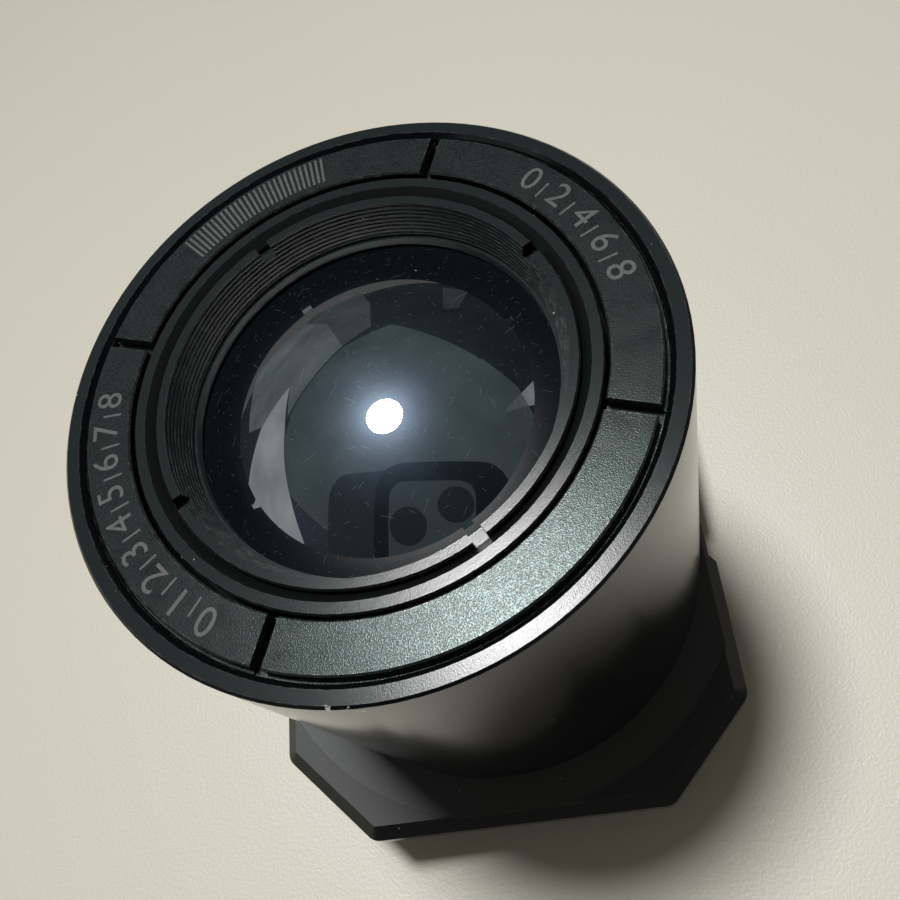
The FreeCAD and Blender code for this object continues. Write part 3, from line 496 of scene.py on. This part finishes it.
def coated_glass():
    """Dark coated front glass: a clear mirror over a hazy layer of wiping marks and dust."""
    look = bpy.context.scene.lens_finish
    finish, tree, surface = material("coated_germanium")
    marks = use(tree, "Wiping marks", Spacing=0.95 * MM, Width=0.014 * MM)
    specks = use(tree, "Dust specks", Cell=1.3 * MM, Speck=0.05, Share=0.35)
    scratched = maths(tree, "MULTIPLY", marks.outputs["Lines"], 0.16)
    shade = blend_colour(tree, scratched, look.glass, (0.7, 0.8, 1.0))
    dusty = blend_colour(tree, specks.outputs["Mask"], shade, look.dust)
    tree.links.new(dusty, surface.inputs["Base Color"])
    tree.links.new(scratched, surface.inputs["Metallic"])
    haze = remap(tree, marks.outputs["Haze"], 0.0, 1.0, 0.29, 0.35)
    tree.links.new(haze, surface.inputs["Roughness"])
    surface.inputs["IOR"].default_value = 1.56
    surface.inputs["Specular Tint"].default_value = (0.56, 0.73, 1.0, 1.0)
    surface.inputs["Coat Weight"].default_value = 1.0
    surface.inputs["Coat Roughness"].default_value = 0.012
    surface.inputs["Coat IOR"].default_value = 3.4
    tree.links.new(bump(tree, marks.outputs["Haze"], 0.5, 0.01 * MM), surface.inputs["Normal"])
    return finish


def polished_glass(name, tint):
    """Inner elements: polished, opaque to the eye, with a faint cleaning haze."""
    finish, tree, surface = material(name)
    marks = use(tree, "Wiping marks", Spacing=1.6 * MM, Width=0.01 * MM)
    wiped = maths(tree, "MAXIMUM", marks.outputs["Haze"], marks.outputs["Lines"])
    shade = blend_colour(tree, wiped, tint, tuple(0.8 * c for c in tint))
    tree.links.new(shade, surface.inputs["Base Color"])
    tree.links.new(remap(tree, marks.outputs["Haze"], 0.0, 1.0, 0.05, 0.12), surface.inputs["Roughness"])
    surface.inputs["Metallic"].default_value = 1.0
    return finish


def rubber():
    """Matt nitrile seal with a faint bloom."""
    look = bpy.context.scene.lens_finish
    finish, tree, surface = material("black_rubber")
    place = add(tree, "ShaderNodeTexCoord").outputs["Object"]
    bloom = add(tree, "ShaderNodeTexNoise", {"Vector": place, "Scale": 900.0, "Detail": 6.0})
    share = remap(tree, bloom.outputs[0], 0.45, 0.75, 0.0, 0.25)
    tree.links.new(blend_colour(tree, share, look.rubber, (0.07, 0.07, 0.07)), surface.inputs["Base Color"])
    tree.links.new(remap(tree, bloom.outputs[0], 0.3, 0.7, 0.5, 0.72), surface.inputs["Roughness"])
    tree.links.new(bump(tree, bloom.outputs[0], 0.3, 0.01 * MM), surface.inputs["Normal"])
    return finish


def plastic(name, colour, roughness):
    """Machined plastic with turning marks."""
    finish, tree, surface = material(name)
    turned = use(tree, "Turning marks", Pitch=0.09 * MM, Waver=0.4)
    shade = remap(tree, turned.outputs["Streak"], 0.3, 0.7, 0.92, 1.05)
    tree.links.new(blend_colour(tree, shade, (0.0, 0.0, 0.0), colour), surface.inputs["Base Color"])
    tree.links.new(remap(tree, turned.outputs["Streak"], 0.3, 0.7, roughness - 0.06, roughness + 0.06),
                   surface.inputs["Roughness"])
    tree.links.new(bump(tree, turned.outputs["Height"], 0.35, 0.006 * MM), surface.inputs["Normal"])
    return finish


def ground_steel(name, colour, roughness):
    """Ground steel of the shim, spring and pins."""
    finish, tree, surface = material(name)
    turned = use(tree, "Turning marks", Pitch=0.035 * MM, Waver=3.0)
    tree.links.new(blend_colour(tree, remap(tree, turned.outputs["Streak"], 0.3, 0.7, 0.85, 1.1),
                                (0.0, 0.0, 0.0), colour), surface.inputs["Base Color"])
    tree.links.new(remap(tree, turned.outputs["Streak"], 0.3, 0.7, roughness - 0.08, roughness + 0.08),
                   surface.inputs["Roughness"])
    surface.inputs["Metallic"].default_value = 1.0
    tree.links.new(bump(tree, turned.outputs["Height"], 0.3, 0.004 * MM), surface.inputs["Normal"])
    return finish


def laser_mark(colour):
    """Faded grey laser mark, patchy like the real ones."""
    finish, tree, surface = material("laser_mark")
    place = add(tree, "ShaderNodeTexCoord").outputs["Object"]
    patches = add(tree, "ShaderNodeTexNoise", {
        "Vector": place, "Scale": 3800.0, "Detail": 4.0, "Roughness": 0.7})
    shade = blend_colour(tree, remap(tree, patches.outputs[0], 0.3, 0.7),
                         tuple(0.55 * c for c in colour), tuple(1.35 * c for c in colour))
    tree.links.new(shade, surface.inputs["Base Color"])
    tree.links.new(remap(tree, patches.outputs[0], 0.3, 0.7, 0.45, 0.6), surface.inputs["Roughness"])
    tree.links.new(bump(tree, patches.outputs[0], 0.4, 0.01 * MM), surface.inputs["Normal"])
    return finish


def dress(node, finish):
    """Gives a carried-over piece its finish."""
    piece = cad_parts[node]
    piece.data.materials.clear()
    piece.data.materials.append(finish)


def piece_from(name, mesh, finish):
    """New piece that goes with the lens."""
    mesh.materials.clear()
    mesh.materials.append(finish)
    piece = bpy.data.objects.new(name, mesh)
    bpy.context.scene.collection.objects.link(piece)
    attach(piece, "root")
    return piece


# ---------------------------------------------------------------- operators

class LENS_OT_effects(bpy.types.Operator):
    """Builds the node groups that the finishes share"""
    bl_idname = "lens.effects"
    bl_label = "Shared effects"

    def execute(self, context):
        make_edge_wear()
        make_turning()
        make_blasting()
        make_facing()
        make_dust()
        make_scratches()
        make_chip()
        return {"FINISHED"}


class LENS_OT_barrel(bpy.types.Operator):
    """Finishes the outer barrel with its flange and spigot"""
    bl_idname = "lens.barrel"
    bl_label = "Barrel"

    def execute(self, context):
        look = context.scene.lens_finish
        dress("outer_barrel", anodised(
            "barrel_anodised", look.anodised, 0.13, 0.19, wear_and_highlight=0.5, chips=CHIPS))
        return {"FINISHED"}


class LENS_OT_rings(bpy.types.Operator):
    """Finishes the lock ring, the lens cell and the retaining rings"""
    bl_idname = "lens.rings"
    bl_label = "Rings and cell"

    def execute(self, context):
        look = context.scene.lens_finish
        dress("slotted_lock_ring", blasted("lock_ring_anodised", look.blasted, 0.24))
        cell = anodised("cell_anodised", look.anodised, 0.5, 0.19, ior=1.37, wear_and_highlight=0.25, turning=0.04)
        dress("lens_cell", cell)
        dress("spacer_tube", cell)
        ring = anodised("ring_anodised", look.anodised, 0.5, 0.19, ior=1.37, wear_and_highlight=0.25, turning=0.04)
        dress("front_retaining_ring", ring)
        dress("rear_retaining_ring", ring)
        return {"FINISHED"}


class LENS_OT_glass(bpy.types.Operator):
    """Finishes the three elements"""
    bl_idname = "lens.glass"
    bl_label = "Glass"

    def execute(self, context):
        look = context.scene.lens_finish
        dress("front_element", coated_glass())
        dress("middle_element", polished_glass("inner_glass", (0.16, 0.13, 0.12)))
        dress("rear_element", polished_glass("rear_germanium", look.germanium))
        return {"FINISHED"}


class LENS_OT_seals(bpy.types.Operator):
    """Finishes the seal rings"""
    bl_idname = "lens.seals"
    bl_label = "Seals"

    def execute(self, context):
        seal = rubber()
        for node in ("front_o_ring", "rear_o_ring", "cell_o_ring_front", "cell_o_ring_rear",
                     "flange_o_ring"):
            dress(node, seal)
        return {"FINISHED"}


class LENS_OT_stack(bpy.types.Operator):
    """Finishes the ring stack, the washer, the stop and the pins"""
    bl_idname = "lens.stack"
    bl_label = "Stack and stop"

    def execute(self, context):
        look = context.scene.lens_finish
        dress("compensator_ring", plastic("acetal", look.acetal, 0.45))
        dress("front_seat_washer", plastic("dark_plastic", (0.03, 0.03, 0.03), 0.5))
        strip = ground_steel("spring_steel", look.steel, 0.3)
        dress("wave_spring", strip)
        dress("focus_shim", strip)
        pins = ground_steel("pin_steel", look.steel, 0.22)
        dress("guide_pin_1", pins)
        dress("guide_pin_2", pins)
        dress("aperture_stop", plastic("stop_black", (0.012, 0.012, 0.012), 0.62))
        return {"FINISHED"}


class LENS_OT_thread(bpy.types.Operator):
    """Winds the mounting thread round the rear spigot"""
    bl_idname = "lens.thread"
    bl_label = "Mounting thread"

    def execute(self, context):
        values = context.scene.lens_thread
        steps_per_turn = 120
        turns = (values.end - values.start) / values.pitch
        count = round(turns * steps_per_turn)
        fade = steps_per_turn // 3
        shape = bmesh.new()
        previous = None
        for step in range(count + 1):
            angle = 2 * math.pi * step / steps_per_turn
            middle = values.start + values.pitch * step / steps_per_turn
            rise = values.ridge * min(1.0, step / fade, (count - step) / fade)
            around = Vector((math.cos(angle), math.sin(angle), 0.0))
            flank, flat = 0.5 * values.pitch, 0.06 * values.pitch
            section = []
            for offset, lift in ((-flank, -0.02 * MM), (-flat, rise), (flat, rise), (flank, -0.02 * MM)):
                point = around * (values.root_radius + lift)
                section.append(shape.verts.new((point.x, point.y, middle + offset)))
            if previous:
                for index in range(3):
                    old, new = previous[index:index + 2], section[index:index + 2]
                    shape.faces.new((old[0], new[0], new[1], old[1]))
            previous = section
        for face in shape.faces:
            face.smooth = False
        bmesh.ops.recalc_face_normals(shape, faces=shape.faces)
        mesh = bpy.data.meshes.new("mount_thread_ridges")
        shape.to_mesh(mesh)
        shape.free()
        piece_from("mount_thread_ridges", mesh, bpy.data.materials["barrel_anodised"])
        return {"FINISHED"}


def tick_quad(shape, angle, inner, outer, width, height):
    """Thin radial line between two radii."""
    along = Vector((math.cos(angle), math.sin(angle), 0.0))
    across = Vector((-along.y, along.x, 0.0)) * (width / 2)
    start, end = along * inner, along * outer
    corners = [start - across, end - across, end + across, start + across]
    shape.faces.new([shape.verts.new((p.x, p.y, height)) for p in corners])


class LENS_OT_marks(bpy.types.Operator):
    """Draws plain scale marks on the slotted ring: ticks, and digits on two of the three arcs"""
    bl_idname = "lens.marks"
    bl_label = "Scale marks"

    def digits(self, shape, first, last, numbers, values, height):
        """Digits that stand with their heads outwards and read clockwise."""
        for index, number in enumerate(numbers):
            angle = math.radians(last + (first - last) * (index + 0.5) / len(numbers))
            curve = bpy.data.curves.new("digit", "FONT")
            curve.body = str(number)
            curve.size = values.digit_height / 0.72
            curve.align_x, curve.align_y = "CENTER", "CENTER"
            curve.resolution_u = 4
            holder = bpy.data.objects.new("digit", curve)
            mesh = bpy.data.meshes.new_from_object(holder)
            place = (Matrix.Rotation(angle - math.pi / 2, 4, "Z")
                     @ Matrix.Translation((0.0, values.middle_radius, height)))
            mesh.transform(place)
            shape.from_mesh(mesh)
            bpy.data.objects.remove(holder)
            bpy.data.meshes.remove(mesh)
            bpy.data.curves.remove(curve)

    def execute(self, context):
        values = context.scene.lens_marks
        finish = laser_mark(values.colour)
        height = LOCK_RING_HEIGHT + values.film
        half = values.digit_height / 2
        inner, outer = values.middle_radius - half, values.middle_radius + half
        arcs = (
            ("scale_marks_right", 6.0, 46.6, (0, 2, 4, 6, 8)),
            ("scale_marks_left", 169.5, 239.5, (0, 1, 2, 3, 4, 5, 6, 7, 8)),
            ("scale_ticks_block", 95.4, 131.2, ()),
        )
        for name, first, last, numbers in arcs:
            shape = bmesh.new()
            if numbers:
                self.digits(shape, first, last, numbers, values, height)
                span = (last - first) / len(numbers)
                for index in range(len(numbers) - 1):
                    angle = math.radians(first + span * (index + 1))
                    tick_quad(shape, angle, inner, outer - 0.6 * half, values.tick_width, height)
            else:
                ticks, width = 29, 1.15 * values.tick_width
                for index in range(ticks):
                    angle = math.radians(first + (last - first) * index / (ticks - 1))
                    tick_quad(shape, angle, inner - 0.1 * MM, outer + 0.3 * MM, width, height)
            mesh = bpy.data.meshes.new(name)
            shape.to_mesh(mesh)
            shape.free()
            piece_from(name, mesh, finish)
        return {"FINISHED"}


def glow(name, colour, strength):
    """Material of a light board over the table."""
    finish = bpy.data.materials.new(name)
    finish.use_nodes = True
    finish.cycles.emission_sampling = "NONE"
    tree = finish.node_tree
    tree.nodes.clear()
    place = add(tree, "ShaderNodeTexCoord").outputs["Object"]
    cloud = add(tree, "ShaderNodeTexNoise", {"Vector": place, "Scale": 0.5, "Detail": 2.0})
    uneven = remap(tree, cloud.outputs[0], 0.3, 0.7, 0.72 * strength, 1.28 * strength)
    emission = add(tree, "ShaderNodeEmission", {"Color": colour, "Strength": uneven})
    add(tree, "ShaderNodeOutputMaterial", {"Surface": emission.outputs[0]})
    return finish


def stage_sheet(name, corners, finish):
    """Flat sheet of the stage, which doesn't belong to the lens."""
    mesh = bpy.data.meshes.new(name)
    mesh.from_pydata([tuple(c) for c in corners], [], [tuple(range(len(corners)))])
    mesh.materials.append(finish)
    sheet = bpy.data.objects.new(name, mesh)
    bpy.context.scene.collection.objects.link(sheet)
    return sheet


def mirrored_board(name, corners, colour, strength):
    """Board that is only seen mirrored in glass and metal."""
    board = stage_sheet(name, corners, glow(name, colour, strength))
    board.visible_camera = False
    board.visible_shadow = False
    board.visible_diffuse = False


class LENS_OT_table(bpy.types.Operator):
    """Lays the pale painted table under the lens"""
    bl_idname = "lens.table"
    bl_label = "Table"

    def execute(self, context):
        stage = context.scene.lens_stage
        finish, tree, surface = material("painted_table")
        place = add(tree, "ShaderNodeTexCoord").outputs["Object"]
        broad = add(tree, "ShaderNodeTexNoise", {"Vector": place, "Scale": 9.0, "Detail": 3.0})
        peel = add(tree, "ShaderNodeTexNoise", {
            "Vector": place, "Scale": 2800.0, "Detail": 3.0, "Roughness": 0.6})
        shade = remap(tree, maths(tree, "ADD", maths(tree, "MULTIPLY", broad.outputs[0], 0.6),
                                  maths(tree, "MULTIPLY", peel.outputs[0], 0.4)), 0.3, 0.7, 0.965, 1.03)
        paint = blend_colour(tree, shade, (0.0, 0.0, 0.0), stage.table)
        tree.links.new(paint, surface.inputs["Base Color"])
        tree.links.new(remap(tree, peel.outputs[0], 0.3, 0.7, 0.34, 0.44), surface.inputs["Roughness"])
        tree.links.new(bump(tree, peel.outputs[0], 0.6, 0.1 * MM), surface.inputs["Normal"])
        # Seen from below, the table is clear, so that the rear of the lens can be looked at.
        clear = add(tree, "ShaderNodeBsdfTransparent")
        below = add(tree, "ShaderNodeNewGeometry").outputs["Backfacing"]
        either = add(tree, "ShaderNodeMixShader", {0: below, 1: surface.outputs[0], 2: clear.outputs[0]})
        tree.links.new(either.outputs[0], tree.nodes["Material Output"].inputs["Surface"])
        side, level = stage.table_side / 2, -0.01 * MM
        corners = [(-side, -side, level), (side, -side, level), (side, side, level), (-side, side, level)]
        stage_sheet("table", corners, finish)
        return {"FINISHED"}


# Boards of the ceiling as seen from the front glass: corners in units of the ceiling's height
# along X and Y, then the brightness and the colour.
BOARDS = (
    ("ceiling_board", 0.13, (0.78, 1.0, 1.0),
     ((-0.6, -0.55), (-1.03, -0.05), (-1.03, 0.1), (-1.02, 0.42), (-0.93, 0.65), (-0.75, 0.83),
      (-0.51, 1.08), (-0.12, 1.24), (0.18, 0.99), (0.41, 0.81), (0.61, 0.66), (0.82, 0.49), (1.0, 0.15),
      (0.6, -0.6))),
    ("window_board", 0.6, (0.9, 0.97, 1.0),
     ((-1.06, 0.96), (-1.5, 0.75), (-1.9, 0.3), (-1.9, -0.9), (-1.1, -0.9), (-1.045, -0.38), (-1.034, -0.1),
      (-1.037, 0.19), (-1.026, 0.51))),
    ("lit_corner_board", 0.45, (0.9, 1.0, 1.0), ((0.646, 0.233), (1.1, 0.685), (1.05, 0.38))),
    ("panel_board", 0.085, (0.85, 1.0, 1.0), ((0.374, 2.48), (0.693, 2.39), (0.468, 1.574), (0.322, 1.54))),
    ("wall_board", 0.24, (0.86, 1.0, 1.08),
     ((-1.06, 0.97), (-1.0, 0.6), (-0.9, 0.71), (-0.75, 0.86), (-0.52, 1.11), (-0.9, 1.9), (-1.5, 2.6),
      (-2.4, 2.2), (-1.9, 0.9), (-1.5, 0.76))),
    ("far_wall_board", 0.12, (0.82, 1.0, 1.0),
     ((-0.52, 1.11), (-0.3, 1.3), (-0.42, 2.0), (-0.7, 2.9), (-1.5, 2.9), (-1.5, 2.6), (-0.9, 1.9))),
    ("near_board", 0.05, (0.8, 0.98, 1.2),
     ((-1.03, -0.05), (-0.6, -0.55), (0.6, -0.6), (1.0, 0.15), (1.9, 0.2), (1.9, -1.9), (-1.2, -1.9),
      (-1.1, -0.9), (-1.045, -0.38))),
)


class LENS_OT_light(bpy.types.Operator):
    """Hangs the lamp and the dim boards round it, and sets the room's light"""
    bl_idname = "lens.light"
    bl_label = "Light"

    def execute(self, context):
        stage = context.scene.lens_stage
        glass = Vector((0.0, 0.0, GLASS_HEIGHT))
        direction = Vector(stage.lamp_direction).normalized()
        lamp = bpy.data.lights.new("lamp", "AREA")
        lamp.shape = "DISK"
        lamp.size = 2 * stage.lamp_reach * math.tan(stage.lamp_spread / 2)
        lamp.energy = stage.lamp_power
        lamp.spread = stage.lamp_beam
        holder = bpy.data.objects.new("lamp", lamp)
        holder.location = glass + direction * stage.lamp_reach
        holder.rotation_mode = "QUATERNION"
        holder.rotation_quaternion = (holder.location - Vector(stage.lamp_aim)).to_track_quat("Z", "Y")
        context.scene.collection.objects.link(holder)

        height = stage.ceiling_height
        for name, strength, colour, outline in BOARDS:
            level = glass.z + height - (0.01 if name in ("panel_board", "window_board") else 0.0)
            corners = [(x * height, y * height, level) for x, y in outline]
            mirrored_board(name, corners, colour, strength)
        reach = 2.9 * height
        rest = [(reach * math.cos(a), reach * math.sin(a), glass.z + height + 0.05)
                for a in (math.radians(15 * k) for k in range(24))]
        mirrored_board("dim_board", rest, (0.7, 0.95, 1.0), 0.028)

        world = bpy.data.worlds.new("room")
        context.scene.world = world
        world.use_nodes = True
        tree = world.node_tree
        tree.nodes.clear()
        path = add(tree, "ShaderNodeLightPath")
        bent = maths(tree, "MAXIMUM", path.outputs["Is Glossy Ray"], path.outputs["Is Transmission Ray"])
        seen = maths(tree, "MAXIMUM", path.outputs["Is Camera Ray"], bent)
        shade = blend_colour(tree, seen, stage.room, stage.background)
        light = add(tree, "ShaderNodeBackground", {"Color": shade, "Strength": 1.0})
        add(tree, "ShaderNodeOutputWorld", {"Surface": light.outputs[0]})
        return {"FINISHED"}


class LENS_OT_camera(bpy.types.Operator):
    """Places the camera at the picture's viewpoint, with the dark slab of its own body behind it"""
    bl_idname = "lens.camera"
    bl_label = "Camera"

    def execute(self, context):
        stage = context.scene.lens_stage
        data = bpy.data.cameras.new("camera")
        data.sensor_width = 36.0
        data.lens = stage.field
        data.shift_x = 0.0006
        data.clip_start, data.clip_end = 0.001, 50.0
        camera = bpy.data.objects.new("camera", data)
        place, aim = Vector(stage.camera_place), Vector(stage.camera_aim)
        level = (aim - place).to_track_quat("-Z", "Y").to_matrix().to_4x4()
        camera.matrix_world = Matrix.Translation(place) @ level @ Matrix.Rotation(stage.camera_roll, 4, "Z")
        context.scene.collection.objects.link(camera)
        context.scene.camera = camera
        self.slab(camera.matrix_world)
        return {"FINISHED"}

    def slab(self, view):
        """Rounded slab with a raised corner plate and two round windows, as the glass mirrors it."""
        parts = (
            ("slab_body", 0.045, (-67.5, -125, 25, 19.5), 12, 1.3),
            ("slab_bump", 0.012, (-36, -40, 26, 22.5), 13, 1.2),
            ("slab_plate", 0.11, (-28.5, -34, 9.8, 13.5), 7, 1.1),
            ("slab_window_upper", 0.03, (-6.4, -4.7, 9.2, 10.9), 7.8, 1.0),
            ("slab_window_lower", 0.03, (-27.8, -14.7, -10.8, 2.3), 8.5, 1.0),
        )
        for name, strength, (left, low, right, high), corner, back in parts:
            outline = []
            for cx, cy, turn in ((right - corner, high - corner, 0), (left + corner, high - corner, 90),
                                 (left + corner, low + corner, 180), (right - corner, low + corner, 270)):
                for step in range(9):
                    angle = math.radians(turn + 90 * step / 8)
                    point = Vector((cx + corner * math.cos(angle), cy + corner * math.sin(angle), back))
                    outline.append(view @ (point * MM))
            mirrored_board(name, outline, (0.68, 0.88, 1.0), strength)


OPERATORS = (
    LENS_OT_effects, LENS_OT_barrel, LENS_OT_rings, LENS_OT_glass, LENS_OT_seals, LENS_OT_stack,
    LENS_OT_thread, LENS_OT_marks, LENS_OT_table, LENS_OT_light, LENS_OT_camera,
)
VALUES = (
    ("lens_thread", LensThread), ("lens_marks", LensMarks), ("lens_finish", LensFinish),
    ("lens_stage", LensStage),
)


class LENS_PT_sidebar(bpy.types.Panel):
    """Lists the steps and their values"""
    bl_idname = "LENS_PT_sidebar"
    bl_label = "Thermal lens"
    bl_space_type = "VIEW_3D"
    bl_region_type = "UI"
    bl_category = "Lens"

    def draw(self, context):
        for operator in OPERATORS:
            self.layout.operator(operator.bl_idname)
        for attribute, values in VALUES:
            box = self.layout.box()
            box.label(text=values.__doc__)
            for name in values.__annotations__:
                box.prop(getattr(context.scene, attribute), name)


def register():
    for attribute, values in VALUES:
        bpy.utils.register_class(values)
        setattr(bpy.types.Scene, attribute, PointerProperty(type=values))
    for item in (*OPERATORS, LENS_PT_sidebar):
        bpy.utils.register_class(item)


def unregister():
    for item in (LENS_PT_sidebar, *reversed(OPERATORS)):
        bpy.utils.unregister_class(item)
    for attribute, values in reversed(VALUES):
        delattr(bpy.types.Scene, attribute)
        bpy.utils.unregister_class(values)


def main():
    """Dresses the frame and sets the stage."""
    register()
    bpy.context.scene.view_settings.view_transform = "Standard"
    for operator in OPERATORS:
        family, step = operator.bl_idname.split(".")
        getattr(getattr(bpy.ops, family), step)()


if __name__ == "__main__":
    main()
